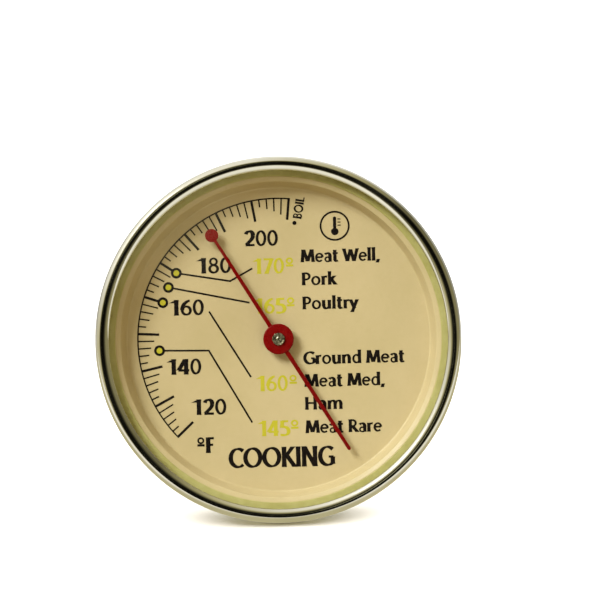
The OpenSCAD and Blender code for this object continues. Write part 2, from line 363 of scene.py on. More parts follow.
yellow_ink = painted(
    "yellow ink", (0.5, 0.46, 0.03), (0.45, 0.41, 0.022), (0.5, 0.65), 3000, 0.002, 0.2)
red_lacquer = painted(
    "red lacquer", (0.185, 0.001, 0.0015), (0.155, 0.001, 0.001), (0.24, 0.36), 1200, 0.003, 0.12)
green_seal = painted("seal", (0.5, 0.47, 0.2), (0.39, 0.36, 0.12), (0.35, 0.5), 900, 0.01, 0.3)
glass = clear_glass("lens glass")
bush_metal = plain_metal("bush metal", (0.52, 0.47, 0.32), (0.12, 0.1, 0.06), (0.22, 0.42), 2600.0)


# ---- head

CLEAR = 0.01  # gap that keeps the skins of touching pieces apart
SHEET = 0.45  # thickness of the bezel's sheet
ROLL, CURL = 1.4, 1.1  # radii of the bezel's front roll and of its crimped back edge
DIAL_SHEET, CASE_SHEET = 0.3, 0.5  # thicknesses
DIAL_WALL = 1.75  # width of the sloping wall round the dial's face
CASE_STEP = 1.0  # from the flange's edge to the case's wall
CASE_CORNER = 2.5  # rounding between the case's back and its wall

_, bezel_r, bezel_low, bezel_high = extents("bezel_ring")
_, lens_r, lens_low, lens_high = extents("lens")
opening_r, seal_r, seal_low, seal_high = extents("lens_seal")
dial_hole_r, dial_edge_r, dial_low, dial_high = extents("dial_plate")
case_hole_r, flange_r, _, flange_high = extents("case_cup")
face_z = dial_low + DIAL_SHEET
face_r = opening_r - DIAL_WALL
case_r = flange_r - CASE_STEP


def make_bezel():
    """The sheet's outer skin runs from the lip on the lens over the crown and round the curl."""
    outer_x, inner_x = 1.25, 1.78  # from the crown to the outside, and across the inner roll
    slope_x, slope_z = 1.7, 1.03  # half axes of the gentle slope inside the crown
    slope_w, lip_w = 1.19, 0.27  # how far the slope runs, and the steep lip past it
    edge_h, edge_w = 0.07, 0.02  # the sheet's cut edge on the lens
    crimp_gap = 0.4  # between the case's wall and the crimped edge
    crown_x, roll_z = bezel_r - outer_x, bezel_high - ROLL
    curl_x, curl_z = bezel_r - CURL, bezel_low + CURL
    crimp_r = case_r + crimp_gap
    lip = lens_high + CLEAR
    start = 180 - math.degrees(math.acos(slope_w / slope_x))
    inside = ROLL - SHEET
    stop = 180 - math.degrees(math.asin((lip - roll_z) / inside))
    outline = [(crown_x - slope_w - lip_w, lip + edge_h)]
    outline += arc(crown_x, bezel_high - slope_z, slope_x, slope_z, start, 90, 24)
    outline += arc(crown_x, roll_z, outer_x, ROLL, 90, 0, 24)[1:]
    outline += arc(curl_x, curl_z, CURL, CURL, 0, -90, 14)
    outline += rounded([(crimp_r, bezel_low, 0.15), (crimp_r, bezel_low + SHEET, 0.1),
                        (curl_x, bezel_low + SHEET, 0)])[:-1]
    outline += arc(curl_x, curl_z, CURL - SHEET, CURL - SHEET, -90, 0, 8)
    outline += arc(crown_x, roll_z, outer_x - SHEET, inside, 0, 90, 10)
    outline += arc(crown_x, roll_z, inner_x - SHEET, inside, 90, stop, 10)[1:]
    outline.append((outline[0][0] + edge_w, lip))
    lathe("bezel_ring_skin", outline, "head", bezel_steel, ["bezel_ring"], 320)


def make_lens():
    """A disc with ground edges."""
    flat_r = lens_r - 0.5  # the faces stay flat as far as this
    outline = rounded([(0, lens_low, 0), (flat_r, lens_low, 0), (lens_r, lens_low, 0.15),
                       (lens_r, lens_high, 0.2), (flat_r, lens_high, 0), (0, lens_high, 0)])
    lathe("lens_disc", outline, "head", glass, ["lens"])


def make_seal():
    """The ring under the lens, with a low wall round its edge."""
    inner = lens_r + 2 * CLEAR
    top = lens_low - CLEAR
    ledge = 0.12  # how far the seal stops short of the dial's wall
    outline = rounded([
        (opening_r + ledge, seal_low + CLEAR, 0.03), (seal_r, seal_low + CLEAR, 0.15),
        (seal_r, seal_high, 0.15), (inner, seal_high, 0.1), (inner, top, 0),
        (opening_r + ledge, top, 0.1),
    ])
    lathe("lens_seal_ring", outline, "head", green_seal, ["lens_seal"])


def make_dial():
    """A pan: flat face, steep wall that flattens out to a ledge, and a rim under the seal."""
    ledge_w, ledge_h = 0.85, 0.4
    outline = rounded([
        (dial_hole_r, dial_low, 0.05), (face_r + DIAL_SHEET, dial_low, 0.5),
        (opening_r + DIAL_SHEET, flange_high + CLEAR, 0.3), (dial_edge_r, flange_high + CLEAR, 0.05),
        (dial_edge_r, dial_high, 0.05), (opening_r, dial_high, 0.1),
        (opening_r - ledge_w, dial_high - ledge_h, 0.4),
        (face_r, face_z, 0.45), (dial_hole_r, face_z, 0.08),
    ])
    lathe("dial_pan", outline, "head", cream, ["dial_plate"])


def make_case():
    """A pressed cup with a ring pressed into its back and an outward flange."""
    groove_r, groove_w, groove_d = 24.0, 0.9, 0.3
    outline = rounded([
        (case_hole_r, 0, 0.05),
        (groove_r - groove_w, 0, 0.4), (groove_r - groove_w / 2, groove_d, 0.4),
        (groove_r + groove_w / 2, groove_d, 0.4), (groove_r + groove_w, 0, 0.4),
        (case_r, 0, CASE_CORNER), (case_r, flange_high - CASE_SHEET, 0.25),
        (flange_r, flange_high - CASE_SHEET, 0.1), (flange_r, flange_high, 0.1),
        (case_r - CASE_SHEET, flange_high, 0.4),
        (case_r - CASE_SHEET, CASE_SHEET, CASE_CORNER - CASE_SHEET),
        (case_hole_r, CASE_SHEET, 0.05),
    ], 8)
    lathe("case_shell", outline, "head", case_steel, ["case_cup"])


def make_neck():
    """A collar swaged into the hole in the back of the case."""
    bore_r, neck_r, low, high = extents("case_neck")
    swage_w = 0.7
    lip_r = case_hole_r + swage_w
    outline = rounded([
        (bore_r, low, 0.12), (neck_r, low, 0.3), (neck_r, -CLEAR, 0.08), (case_hole_r, -CLEAR, 0),
        (case_hole_r - CLEAR, CASE_SHEET + CLEAR, 0), (lip_r, CASE_SHEET + CLEAR, 0.05),
        (lip_r, high, 0.1), (bore_r, high, 0.1),
    ])
    lathe("neck_collar", outline, "head", turned_steel, ["case_neck"], 128)


make_bezel()
make_lens()
make_seal()
make_dial()
make_case()
make_neck()


# ---- probe

def make_tube():
    """The probe's tube, with the seat that its ferrule is pressed on."""
    bore_r, probe_r, low, high = extents("probe_tube")
    ferrule_in, _, ferrule_low, _ = extents("ferrule")
    seat_below = 0.5
    seat_r, seat_z = ferrule_in - CLEAR, ferrule_low - seat_below
    outline = rounded([
        (bore_r, low, 0), (probe_r, low, 0.06), (probe_r, seat_z, 0.05),
        (seat_r, seat_z, 0), (seat_r, high, 0.05), (bore_r, high, 0.05),
    ])
    lathe("probe_shell", outline, "probe", probe_steel, ["probe_tube"], 96)


def make_tip():
    """A cone with a rounded nose, and the plug that holds it in the tube."""
    bore_r, probe_r, low, _ = extents("probe_tube")
    _, _, tip_low, plug_high = extents("probe_tip")
    nose, top = 0.4, low - CLEAR
    outline = [(0, plug_high), (bore_r - CLEAR, plug_high), (bore_r - CLEAR, top)]
    outline += rounded([(bore_r, top, 0), (probe_r, top, 0.06), (nose, tip_low + nose, 0)])[1:-1]
    slope = math.degrees(math.atan2(low - tip_low - nose, probe_r - nose)) - 90
    outline += arc(0, tip_low + nose, nose, nose, slope, -90, 8)
    outline[-1] = (0, tip_low)
    lathe("probe_point", outline, "probe", probe_steel, ["probe_tip"], 96)


def make_ferrule():
    """The sleeve on the top of the probe, with a bevel at its lower end."""
    bore_r, outer_r, low, high = extents("ferrule")
    bevel = 0.6
    outline = rounded([
        (bore_r, low, 0.08), (outer_r - bevel, low, 0.15), (outer_r, low + bevel, 0.2),
        (outer_r, high, 0.15), (bore_r, high, 0.05),
    ])
    lathe("ferrule_sleeve", outline, "probe", turned_steel, ["ferrule"], 96)


def make_nut():
    """Hexagon with bevelled corners: every direction has a profile of its own."""
    bore_r, corner_r, low, high = extents("calibration_nut")
    flat = corner_r * math.cos(math.radians(30))
    soft_r = corner_r - 0.14  # the corners' edges are broken
    face_w, bore_bevel = 0.15, 0.25  # bevels of the end faces, outside and at the bore
    cone_in, cone_gap = 0.1, 0.05  # where the cone that cuts the corners starts
    cone_h, cone_steps = 0.5, 6

    def outline(angle):
        off = (angle % (math.pi / 3)) - math.pi / 6
        side = min(flat / math.cos(off), soft_r)
        cut = []
        for k in range(cone_steps + 1):
            share = k / cone_steps
            cone = flat - cone_in + (corner_r - flat + cone_in) * share
            cut.append((min(side, cone), cone_gap + cone_h * share))
        points = [(bore_r + bore_bevel, low), (flat - face_w, low)]
        points += [(r, low + rise) for r, rise in cut]
        points += [(r, high - rise) for r, rise in reversed(cut)]
        points += [(flat - face_w, high), (bore_r + bore_bevel, high)]
        points += [(bore_r + CLEAR, high - bore_bevel), (bore_r + CLEAR, low + bore_bevel)]
        return points

    lathe("calibration_nut_hex", outline, "probe", nut_steel, ["calibration_nut"], 180)


def make_spring():
    """A conical washer."""
    inner, outer, low, high = extents("spring_washer")
    middle, sheet_w = (low + high) / 2, 0.5
    outline = rounded([
        (inner, low + CLEAR, 0.05), (inner + sheet_w, low + CLEAR, 0.1), (outer, middle, 0.08),
        (outer, high, 0.08), (outer - sheet_w, high, 0.1), (inner, middle, 0.05),
    ])
    lathe("spring_washer_cone", outline, "probe", spring_steel, ["spring_washer"], 96)


make_tube()
make_tip()
make_ferrule()
make_nut()
make_spring()


# ---- pointer

def pointer_outline(reach):
    """Both arms with the counterweight, pointing along x."""
    reading_w, arm_w, tail_w = 0.7, 0.85, 0.6  # widths at the reading end, the hub and the weight
    weight_r, weight_at = 1.29, 23.7  # the counterweight's radius, and how far out it is
    mouth = math.degrees(math.asin(tail_w / 2 / weight_r))
    outline = arc(reach - reading_w / 2, 0, reading_w / 2, reading_w / 2, -90, 90, 10)
    outline.append((0, arm_w / 2))
    outline += arc(-weight_at, 0, weight_r, weight_r, mouth, 360 - mouth, 44)
    outline.append((0, -arm_w / 2))
    return outline


def make_pointer():
    """A stamped blade with softened edges, and a turned hub."""
    rivet_r, reach, low, high = extents("pointer")
    hub_r, edge, end = 2.94, 0.06, 0.15
    far = [p for p in drawn_points("pointer") if p.xy.length > reach - end]
    heading = math.atan2(sum(p.y for p in far), sum(p.x for p in far))
    arm_low, arm_high = min(p.z for p in far), max(p.z for p in far)
    shape = bmesh.new()
    bottom = [shape.verts.new((x, y, arm_low)) for x, y in pointer_outline(reach)]
    raised = bmesh.ops.extrude_face_region(shape, geom=[shape.faces.new(bottom)])
    top = [v for v in raised["geom"] if isinstance(v, bmesh.types.BMVert)]
    bmesh.ops.translate(shape, verts=top, vec=(0, 0, arm_high - arm_low))
    bmesh.ops.recalc_face_normals(shape, faces=shape.faces)
    sharp = [e for e in shape.edges if len(e.link_faces) == 2 and e.calc_face_angle() > SMOOTH_ANGLE]
    bmesh.ops.bevel(shape, geom=sharp, offset=edge, segments=2, profile=0.6, affect="EDGES")
    bmesh.ops.rotate(shape, verts=shape.verts, matrix=Matrix.Rotation(heading, 3, "Z"))
    hub = rounded([(rivet_r, low, 0.04), (hub_r, low, 0.1), (hub_r, high, 0.2), (rivet_r, high, 0.06)])
    lathe_into(shape, hub, 128)
    piece_from("pointer_blade", shape, "pointer", red_lacquer, ["pointer"])


def make_bush():
    """The bush, with an uneven riveted rim round a sunk end."""
    shaft_r, bush_r, low, high = extents("pointer_bush")
    rivet_r, _, hub_low, _ = extents("pointer")
    rim_w, dish, wall_w = 0.22, 0.16, 0.06
    uneven, waves = 0.02, 2.5

    def outline(angle):
        dent = uneven * noise.noise(Vector((math.cos(angle), math.sin(angle), 0)) * waves)
        return rounded([
            (shaft_r, low, 0), (bush_r, low, 0.06), (bush_r, hub_low - CLEAR, 0.05),
            (rivet_r - CLEAR, hub_low - CLEAR, 0), (rivet_r + dent, high, 0.08),
            (rivet_r - rim_w, high + dent, 0.06), (rivet_r - rim_w - wall_w, high - dish, 0.03),
            (shaft_r, high - dish, 0),
        ], 4)

    lathe("pointer_bush_rivet", outline, "pointer", bush_metal, ["pointer_bush"], 96)


def make_spindle():
    """The shaft, whose end is domed and hammered."""
    shaft_r = extents("pointer_bush")[0]
    low, high = extents("pointer_shaft")[2:]
    dome = ((shaft_r, 0.14), (0.43, 0.07), (0.34, 0.03), (0.24, 0.01), (0.12, 0), (0, 0))
    uneven, waves, sunk, end_h = 0.05, 6.0, 0.02, 0.1
    shape = bmesh.new()
    profile = [(0, low), (shaft_r, low)] + [(r, high - drop) for r, drop in dome]
    lathe_into(shape, profile, 64)
    for vert in shape.verts:
        if vert.co.z > high - end_h:
            vert.co.z += uneven * noise.noise(Vector(vert.co) * waves) - sunk
    piece_from("pointer_spindle", shape, "pointer", bush_metal, ["pointer_shaft"])


make_pointer()
make_bush()
make_spindle()


# ---- lettering
# A letter is the width it takes up and its pen strokes, on a height of 1. A stroke is a line (x0, y0,
# x1, y1), an arc (cx, cy, rx, ry, from, to) or a curve (four points), told apart by their lengths.
# The pen is broad, so a stroke's width follows its direction.

PEN_TILT = math.radians(10)
LINE, CURVE = 4, 8  # lengths of strokes
STEM, LOW = (0.14, 0, 0.14, 1), (0.14, 0, 0.14, 0.7)  # upright strokes: capital, small
GLYPHS = {
    "0": (0.7, [(0.35, 0.5, 0.24, 0.445, 0, 360)]),
    "1": (0.6, [(0.37, 0, 0.37, 1), (0.12, 0.8, 0.36, 0.93)]),
    "2": (0.68, [(0.12, 0.77, 0.16, 1.02, 0.56, 1.04, 0.54, 0.68),
        (0.54, 0.68, 0.53, 0.45, 0.3, 0.3, 0.13, 0.08), (0.08, 0.07, 0.63, 0.07)]),
    "4": (0.72, [(0.5, 0, 0.5, 1), (0.06, 0.28, 0.46, 0.99), (0.04, 0.27, 0.68, 0.27)]),
    "5": (0.66, [(0.18, 0.93, 0.58, 0.93), (0.17, 0.52, 0.21, 0.97),
        (0.17, 0.56, 0.7, 0.66, 0.72, 0.02, 0.3, 0.04), (0.07, 0.06, 0.32, 0.04)]),
    "6": (0.7, [(0.56, 0.95, 0.28, 0.88, 0.11, 0.62, 0.11, 0.34), (0.35, 0.31, 0.24, 0.26, 0, 360)]),
    "7": (0.66, [(0.06, 0.93, 0.62, 0.93), (0.22, 0, 0.58, 0.97)]),
    "8": (0.7, [(0.35, 0.745, 0.19, 0.205, 0, 360), (0.35, 0.28, 0.235, 0.235, 0, 360)]),
    "o": (0.66, [(0.33, 0.35, 0.225, 0.3, 0, 360)]),
    "e": (0.6, [(0.32, 0.35, 0.215, 0.3, 2, 318), (0.12, 0.37, 0.53, 0.37)]),
    "a": (0.58, [(0.12, 0.56, 0.18, 0.72, 0.44, 0.72, 0.44, 0.44), (0.44, 0, 0.44, 0.48),
        (0.28, 0.19, 0.165, 0.17, 0, 360)]),
    "t": (0.44, [(0.19, 0.14, 0.19, 0.92), (0.19, 0.22, 0.19, 0.02, 0.3, 0.02, 0.4, 0.07),
        (0.04, 0.66, 0.39, 0.66)]),
    "l": (0.3, [(0.15, 0, 0.15, 1.06)]),
    "r": (0.42, [LOW, (0.14, 0.44, 0.18, 0.62, 0.26, 0.68, 0.4, 0.63)]),
    "k": (0.56, [(0.14, 0, 0.14, 1.06), (0.17, 0.32, 0.46, 0.7), (0.53, 0, 0.24, 0.44)]),
    "u": (0.66, [(0.14, 0.3, 0.14, -0.03, 0.42, -0.03, 0.5, 0.22), (0.14, 0.28, 0.14, 0.7),
        (0.51, 0, 0.51, 0.7)]),
    "y": (0.56, [(0.31, 0.02, 0.06, 0.7), (0.16, -0.3, 0.5, 0.7)]),
    "n": (0.66, [LOW, (0.16, 0.48, 0.24, 0.72, 0.51, 0.74, 0.51, 0.42), (0.51, 0, 0.51, 0.44)]),
    "m": (1.0, [LOW, (0.16, 0.48, 0.24, 0.72, 0.49, 0.74, 0.49, 0.42), (0.49, 0, 0.49, 0.44),
        (0.51, 0.48, 0.59, 0.72, 0.84, 0.74, 0.84, 0.42), (0.84, 0, 0.84, 0.44)]),
    "d": (0.68, [(0.53, 0, 0.53, 1.06), (0.33, 0.35, 0.21, 0.3, 0, 360)]),
    ",": (0.28, [(0.09, -0.16, 0.16, 0.12)]),
    " ": (0.3, []),
    "B": (0.62, [STEM, (0.14, 0.94, 0.3, 0.94), (0.14, 0.53, 0.3, 0.53), (0.14, 0.06, 0.3, 0.06),
        (0.28, 0.735, 0.19, 0.205, -90, 90), (0.28, 0.295, 0.24, 0.235, -90, 90)]),
    "C": (0.72, [(0.47, 0.5, 0.36, 0.445, 48, 312)]),
    "F": (0.56, [STEM, (0.14, 0.94, 0.52, 0.94), (0.14, 0.52, 0.46, 0.52)]),
    "G": (0.8, [(0.47, 0.5, 0.36, 0.445, 46, 318), (0.72, 0.1, 0.72, 0.46), (0.52, 0.46, 0.76, 0.46)]),
    "H": (0.78, [STEM, (0.64, 0, 0.64, 1), (0.14, 0.52, 0.64, 0.52)]),
    "I": (0.3, [(0.15, 0, 0.15, 1)]),
    "K": (0.68, [STEM, (0.17, 0.46, 0.58, 1), (0.66, 0, 0.26, 0.58)]),
    "L": (0.54, [STEM, (0.14, 0.06, 0.52, 0.06)]),
    "M": (0.94, [(0.1, 0, 0.17, 1), (0.46, 0.06, 0.19, 1), (0.46, 0.06, 0.74, 1), (0.84, 0, 0.76, 1)]),
    "N": (0.8, [(0.13, 0, 0.13, 1), (0.66, 0.02, 0.14, 0.98), (0.66, 0, 0.66, 1)]),
    "O": (0.92, [(0.46, 0.5, 0.36, 0.445, 0, 360)]),
    "P": (0.6, [STEM, (0.14, 0.94, 0.3, 0.94), (0.14, 0.45, 0.3, 0.45),
        (0.29, 0.695, 0.23, 0.245, -90, 90)]),
    "R": (0.66, [STEM, (0.14, 0.94, 0.3, 0.94), (0.14, 0.47, 0.3, 0.47),
        (0.28, 0.705, 0.22, 0.235, -90, 90), (0.62, 0, 0.28, 0.48)]),
    "W": (1.02, [(0.29, 0, 0.06, 1), (0.29, 0, 0.51, 0.94), (0.74, 0, 0.51, 0.94), (0.74, 0, 0.97, 1)]),
    "º": (0.66, [(0.32, 0.8, 0.17, 0.16, 0, 360), (0.09, 0.5, 0.56, 0.5)]),
}


def bent(p0, p1, p2, p3, steps):
    """Points along a cubic curve."""
    points = []
    for i in range(steps + 1):
        t = i / steps
        u = 1 - t
        points.append(p0 * u ** 3 + p1 * 3 * u * u * t + p2 * 3 * u * t * t + p3 * t ** 3)
    return points


def edges(path, aheads, width):
    """Both edges of a stroke along a path; width is a number or a function of the direction."""
    left, right = [], []
    for p, ahead in zip(path, aheads):
        across = Vector((-ahead.y, ahead.x)).normalized()
        half = (width(ahead) if callable(width) else width) / 2
        left.append(p + across * half)
        right.append(p - across * half)
    return left, right


def ribbon(path, width):
    """The outline of a stroke along a path."""
    aheads = [b - a for a, b in zip(path[:1] + path, path[1:] + path[-1:])]
    left, right = edges(path, aheads, width)
    return left + right[::-1]


def closed_stroke(path, width):
    """The outline of a stroke round a closed path, as two halves that meet."""
    aheads = [b - a for a, b in zip(path[-1:] + path, path[1:] + path[:1])]
    left, right = edges(path, aheads, width)
    middle = len(path) // 2
    first = left[:middle + 1] + right[middle::-1]
    second = left[middle:] + left[:1] + right[:1] + right[:middle - 1:-1]
    return [first, second]


def line_outline(stroke, to_dial, width):
    """A straight stroke. A stem's ends are cut level and flare a little, as a chisel leaves them."""
    x0, y0, x1, y1 = stroke
    start, end = to_dial(x0, y0), to_dial(x1, y1)
    half = width(Vector((x1 - x0, y1 - y0))) / 2
    if abs(y1 - y0) <= 0.5 * abs(x1 - x0):
        return ribbon([start, end], 2 * half)
    steps, flare = 6, 0.16
    ahead = end - start
    level = (to_dial(1, 0) - to_dial(0, 0)).normalized()
    lean = abs(level.cross(ahead.normalized()))
    left, right = [], []
    for i in range(steps + 1):
        t = i / steps
        reach = half / lean * (1 + flare * abs(2 * t - 1) ** 4)
        p = start + ahead * t
        left.append(p - level * reach)
        right.append(p + level * reach)
    return left + right[::-1]


def stroke_outlines(stroke, to_dial, thick, thin):
    """Flat outlines of one pen stroke; to_dial takes the glyph's points to the dial."""

    def width(ahead):
        return thin + (thick - thin) * abs(math.sin(math.atan2(ahead.y, ahead.x) - PEN_TILT))

    if len(stroke) == LINE:
        return [line_outline(stroke, to_dial, width)]
    if len(stroke) == CURVE:
        points = [to_dial(stroke[i], stroke[i + 1]) for i in range(0, CURVE, 2)]
        return [ribbon(bent(*points, 14), width)]
    cx, cy, rx, ry, start, end = stroke
    thick = min(thick, 0.7 * (to_dial(rx, 0) - to_dial(0, 0)).length)
    if end - start < 360:
        return [ribbon([to_dial(*p) for p in arc(cx, cy, rx, ry, start, end, 26)], width)]
    return closed_stroke([to_dial(*p) for p in arc(cx, cy, rx, ry, 0, 350, 35)], width)


def lettered(text, x, y, height, width=None, centred=False, thick=0.26, thin=0.125, angle=0.0):
    """Outlines of a line of text. x, y is its left or centre point on the baseline.

    width fits the line to a length; thick and thin are the pen's widths as shares of the height."""
    natural = sum(GLYPHS[c][0] for c in text) * height
    stretch = width / natural if width else 1.0
    across = Vector((math.cos(math.radians(angle)), math.sin(math.radians(angle))))
    above = Vector((-across.y, across.x))
    origin = Vector((x, y)) - (across * natural * stretch / 2 if centred else Vector((0, 0)))
    outlines, pen = [], 0.0
    for c in text:
        advance, strokes = GLYPHS[c]

        def to_dial(gx, gy, pen=pen):
            return origin + across * (pen + gx) * height * stretch + above * gy * height

        for stroke in strokes:
            outlines += stroke_outlines(stroke, to_dial, thick * height, thin * height)
        pen += advance
    return outlines


# ---- what is printed on the dial

INK_LOW, INK_HIGH = face_z - 0.01, face_z + 0.02
SCALE_R = 27.05  # radius of the scale's line
DEGREES_PER_F = 1.542  # turn of the pointer for one degree Fahrenheit
FIRST_F, LAST_F, BOIL_F = 120, 210, 212
FIRST_ANGLE = 223.1  # direction of 120 F, anticlockwise from three o'clock
SCALE_AT = Vector((-0.08, 0.13))  # the print lies a little off the spindle
LINE_W, GUIDE_W = 0.28, 0.35  # the scale's thin lines, the guide lines
FIGURE_H = 3.0  # height of the figures

# Distance of each mark from the scale's centre, and the points that its guide line passes
MARKS = {
    170: (23.35, [(-9.1, 11.4), (-4.75, 13.75)]), 165: (23.35, [(-5.45, 7.15)]),
    145: (23.0, [(-13.5, -1.9), (-5.45, -15.95)]), 160: (23.3, []),
}
NUMBER_GUIDE = [(-13.3, 5.65), (-5.5, -7.2)]  # from the scale's 160 to the list
MARK_R = 0.8


def direction(fahrenheit):
    """Unit vector from the scale's centre towards a temperature."""
    a = math.radians(FIRST_ANGLE - (fahrenheit - FIRST_F) * DEGREES_PER_F)
    return Vector((math.cos(a), math.sin(a)))


def disc(centre, radius, steps=24):
    return [Vector(p) for p in arc(*centre, radius, radius, 0, 360 - 360 / steps, steps - 1)]


def hoop(centre, radius, width, steps=20):
    """A drawn circle, as two half rings."""
    halves = []
    big, small = radius + width / 2, radius - width / 2
    for a in (0, 180):
        outer = arc(*centre, big, big, a, a + 180, steps)
        inner = arc(*centre, small, small, a + 180, a, steps)
        halves.append([Vector(p) for p in outer + inner])
    return halves


def polyline(points, width=GUIDE_W):
    """A drawn guide line with its corners closed."""
    outlines = [ribbon([Vector(a), Vector(b)], width) for a, b in zip(points, points[1:])]
    return outlines + [disc(Vector(p), width / 2, 12) for p in points[1:-1]]


def printed(name, outlines, ink=black_ink):
    """Ink laid on the dial as a thin slab."""
    shape = bmesh.new()
    slab_into(shape, outlines, INK_LOW, INK_HIGH)
    piece_from(name, shape, "head", ink)


def print_scale():
    """The arc with its ticks, some of which stop at marks."""
    major_len, major_w = 4.1, 0.48
    minor_lens = (1.5, 2.0, 2.5, 3.15)
    start = FIRST_ANGLE - (LAST_F - FIRST_F) * DEGREES_PER_F
    over = math.degrees(major_w / 2 / SCALE_R)
    line = arc(0, 0, SCALE_R, SCALE_R, start - over, FIRST_ANGLE + over, 120)
    outlines = [ribbon([SCALE_AT + Vector(p) for p in line], LINE_W)]
    step = 10 / (len(minor_lens) + 1)
    for tens in range(FIRST_F, LAST_F + 1, 10):
        way = direction(tens)
        stop = MARKS[tens][0] + MARK_R if tens in MARKS else SCALE_R - major_len
        ends = [SCALE_AT + way * (SCALE_R + LINE_W / 2), SCALE_AT + way * stop]
        outlines.append(ribbon(ends, major_w))
        for k, length in enumerate(minor_lens if tens < LAST_F else ()):
            way = direction(tens + (k + 1) * step)
            ends = [SCALE_AT + way * SCALE_R, SCALE_AT + way * (SCALE_R - length)]
            outlines.append(ribbon(ends, LINE_W))
    printed("scale_print", outlines)


def figures(places, width, thick, thin):
    """Short texts of one width about their middles."""
    outlines = []
    for text, (x, y) in places.items():
        outlines += lettered(text, x, y - FIGURE_H / 2, FIGURE_H, width, True, thick, thin)
    return outlines


def print_numbers():
    thick, thin = 0.28, 0.12
    places = {"200": (-2.9, 19.55), "180": (-12.05, 14.5), "160": (-17.5, 6.5), "140": (-18.25, -4.9),
              "120": (-13.6, -12.75)}
    unit = {"ºF": (-14.6, -20.1)}
    outlines = figures(places, 6.6, thick, thin) + figures(unit, 3.6, thick, thin)
    printed("scale_numbers_print", outlines)


def print_marks():
    """Ringed dots, and the lines from them to the list of meats."""
    ring_w = 0.48
    outlines, centres = [], []
    for fahrenheit, (away, guide) in MARKS.items():
        centre = SCALE_AT + direction(fahrenheit) * away
        outlines += hoop(centre, MARK_R, ring_w)
        centres.append(disc(centre, MARK_R - ring_w / 2))
        if guide:
            towards = (Vector(guide[0]) - centre).normalized()
            outlines += polyline([centre + towards * MARK_R, *guide])
    outlines += polyline(NUMBER_GUIDE)
    printed("marks_print", outlines)
    printed("marks_fill_print", centres, yellow_ink)


def print_targets():
    places = {"170º": (-0.55, 14.15), "165º": (-0.5, 6.45), "160º": (-0.4, -8.5),
              "145º": (-0.3, -17.15)}
    printed("targets_print", figures(places, 8.05, 0.25, 0.11), yellow_ink)


def print_words():
    """The list's meats, and the word and dot that stand at boiling point."""
    height = 2.45
    lines = (  # text, left end, baseline, width
        ("Meat Well,", 4.95, 14.7, 14.9), ("Pork", 4.98, 10.25, 6.3), ("Poultry", 5.0, 5.6, 10.4),
        ("Ground Meat", 4.95, -5.0, 19.2), ("Meat Med,", 5.1, -9.35, 15.1),
        ("Ham", 5.0, -13.75, 7.1), ("Meat Rare", 5.1, -18.25, 14.3))
    before, beside = 0.3, 0.4  # blank in front of a line's first letter, and on both sides
    outlines = []
    for text, left, y, width in lines:
        outlines += lettered(text, left - before, y, height, width + beside)
    outlines += lettered("BOIL", 4.95, 23.0, 1.7, 4.3, thick=0.22, thin=0.12, angle=80)
    dot_away, dot_r = 22.6, 0.4
    outlines.append(disc(direction(BOIL_F) * dot_away + Vector((0.15, 0)), dot_r))
    printed("words_print", outlines)


def print_title():
    middle, height, width = -22.7, 3.9, 20.4
    outlines = lettered("COOKING", 0.0, middle - height / 2, height, width, True, thick=0.22, thin=0.09)
    printed("title_print", outlines)


def print_roundel():
    """A ring round a plain drawing of a thermometer."""
    centre = Vector((11.35, 21.6))
    ring_r, ring_w, bulb_r, stem_w = 2.72, 0.36, 0.72, 0.62
    bulb, top = centre + Vector((0, -1.1)), centre + Vector((0, 1.5))
    tick_x, tick_y, tick_step, tick_w = (0.55, 1.15), 0.1, 0.6, 0.2
    outlines = hoop(centre, ring_r, ring_w, 40)
    outlines += [disc(bulb, bulb_r), ribbon([bulb, top], stem_w), disc(top, stem_w / 2, 16)]
    for k in range(3):
        ends = [centre + Vector((x, tick_y + tick_step * k)) for x in tick_x]
        outlines.append(ribbon(ends, tick_w))
    printed("roundel_print", outlines)


print_scale()
print_numbers()
print_marks()
print_targets()
print_words()
print_title()
print_roundel()


# ---- the inner CAD pieces

BRASS_PIECES = ("thrust_washer", "upper_bearing", "lower_bearing", "coil_anchor", "coil_collar",
                "shaft_collar")
INNER = {"bimetal_coil": two_metal, "retaining_clip": inner_steel, "neck_seal": black_rubber}
for name in (*BRASS_PIECES, *INNER):
    materials = frame["nodes"][name].data.materials
    materials.clear()
    materials.append(INNER.get(name, brass))


# ---- stage, light and camera

def drawn(x, y, z):
    """A point of the instrument's own frame, in metres."""
    return PLACE @ Vector((x, y, z))


def make_floor():
    """The table, which throws no light back."""
    half = 12.0
    corners = [(-half, -half, 0), (half, -half, 0), (half, half, 0), (-half, half, 0)]
    mesh = bpy.data.meshes.new("floor")
    mesh.from_pydata(corners, [], [range(4)])
    white, _, _ = shader("floor white", Base_Color=(0.92, 0.92, 0.915, 1), Roughness=0.6)
    mesh.materials.append(white)
    floor = shown("floor", mesh)
    floor.visible_diffuse = False
    return floor


def sun(name, where, strength, spread):
    """A far, soft lamp; where is the way to it in the instrument's own frame."""
    data = bpy.data.lights.new(name, "SUN")
    data.energy = strength
    data.angle = math.radians(spread)
    lamp = shown(name, data)
    lamp.location = drawn(*where)
    lamp.rotation_euler = (drawn(0, 0, 0) - lamp.location).to_track_quat("-Z", "Y").to_euler()
    return lamp


def linked(lights, thing, state):
    """Keeps lamps off one thing, or on it alone, as flags and snoots do in a studio."""
    for light in lights:
        apart = bpy.data.collections.new(f"{state} of {light.name}".lower())
        apart.objects.link(thing)
        light.light_linking.receiver_collection = apart
        apart.collection_objects[0].light_linking.link_state = state


# The room that gloss shows, in degrees: "polar" from the dial's axis, or round the clock from three
# o'clock. SIDES and BACKS have a level for every 45 degrees.

